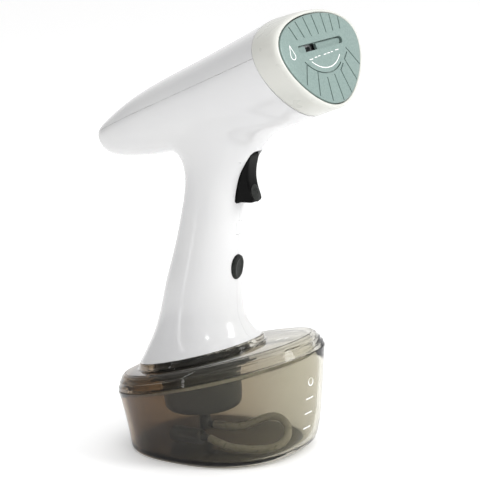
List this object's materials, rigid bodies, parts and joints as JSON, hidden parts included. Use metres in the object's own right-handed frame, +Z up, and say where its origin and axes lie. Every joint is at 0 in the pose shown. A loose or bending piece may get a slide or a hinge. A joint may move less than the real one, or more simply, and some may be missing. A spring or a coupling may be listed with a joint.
{
  "type": "handheld garment steamer",
  "caption": "Handheld garment steamer with a pistol grip, an angled steam head and a trigger, standing on a smoked clear water tank with a lift-off lid.",
  "frame": {"origin": "centre of the non-slip sole's underside, which the steamer stands on", "axes": "+Z up, +X forward, the way the steam leaves, +Y to the user's left"},
  "size_m": [0.1873, 0.113, 0.2843],
  "materials": {
    "smoked_plastic": "smoked translucent copolyester, glossy",
    "white_abs": "glossy moulded ABS",
    "ivory_pp": "satin heat-resistant polypropylene",
    "sage_aluminium": "sage green anodised aluminium, fine satin",
    "grey_abs": "dark grey textured ABS",
    "black_abs": "black moulded ABS",
    "cast_aluminium": "as-cast aluminium",
    "steel": "plated steel",
    "silicone": "translucent silicone rubber",
    "rubber": "black rubber",
    "brass": "turned brass",
    "board": "green circuit laminate",
    "lens": "clear polycarbonate"
  },
  "bodies": {
    "tank": {"tank_body": "smoked_plastic", "base_pad": "rubber"},
    "lid": {"tank_lid": "smoked_plastic", "lid_gasket": "silicone", "docking_well": "grey_abs", "hose_fitting": "grey_abs", "suction_hose": "silicone", "filter_weight": "grey_abs", "dock_seal": "silicone"},
    "handset": {"top_cover": "white_abs", "left_shell": "white_abs", "right_shell": "white_abs", "shell_screw_1": "steel", "shell_screw_2": "steel", "shell_screw_3": "steel", "shell_screw_4": "steel", "front_ring": "ivory_pp", "steam_plate": "sage_aluminium", "plate_gasket": "silicone", "steam_generator": "cast_aluminium", "heating_element": "steel", "generator_cover": "steel", "inlet_nipple": "brass", "thermostat": "steel", "thermal_fuse": "brass", "control_board": "board", "cord_bush": "rubber", "live_wire": "rubber", "neutral_wire": "rubber", "pump": "black_abs", "pump_coil": "steel", "pump_mount_lower": "rubber", "pump_mount_upper": "rubber", "base_coupler": "grey_abs", "coupler_o_ring": "rubber", "suction_pipe": "silicone", "pressure_pipe": "silicone", "trigger_pin": "steel", "trigger_spring": "steel", "trigger_switch": "black_abs", "power_switch": "black_abs", "indicator_lens": "lens"},
    "trigger": {"trigger": "black_abs"},
    "power_button": {"power_button": "grey_abs"}
  },
  "joints": [
    {"name": "lid_lift", "type": "slide", "parent": "tank", "child": "lid", "axis": [0, 0, 1], "range_m": [0, 0.1]},
    {"name": "handset_lift", "type": "slide", "parent": "lid", "child": "handset", "axis": [0, 0, 1], "range_m": [0, 0.1]},
    {"name": "trigger_pull", "type": "hinge", "parent": "handset", "child": "trigger", "pos_m": [0.0375, 0, 0.1915], "axis": [0, 1, 0], "range_deg": [0, 8], "stiffness_Nm_per_rad": 0.3, "springref_deg": -14.32},
    {"name": "button_press", "type": "slide", "parent": "handset", "child": "power_button", "axis": [-0.9781, 0, 0.2079], "range_m": [0, 0.0013], "stiffness_N_per_m": 1200, "springref_m": -0.001}
  ]
}
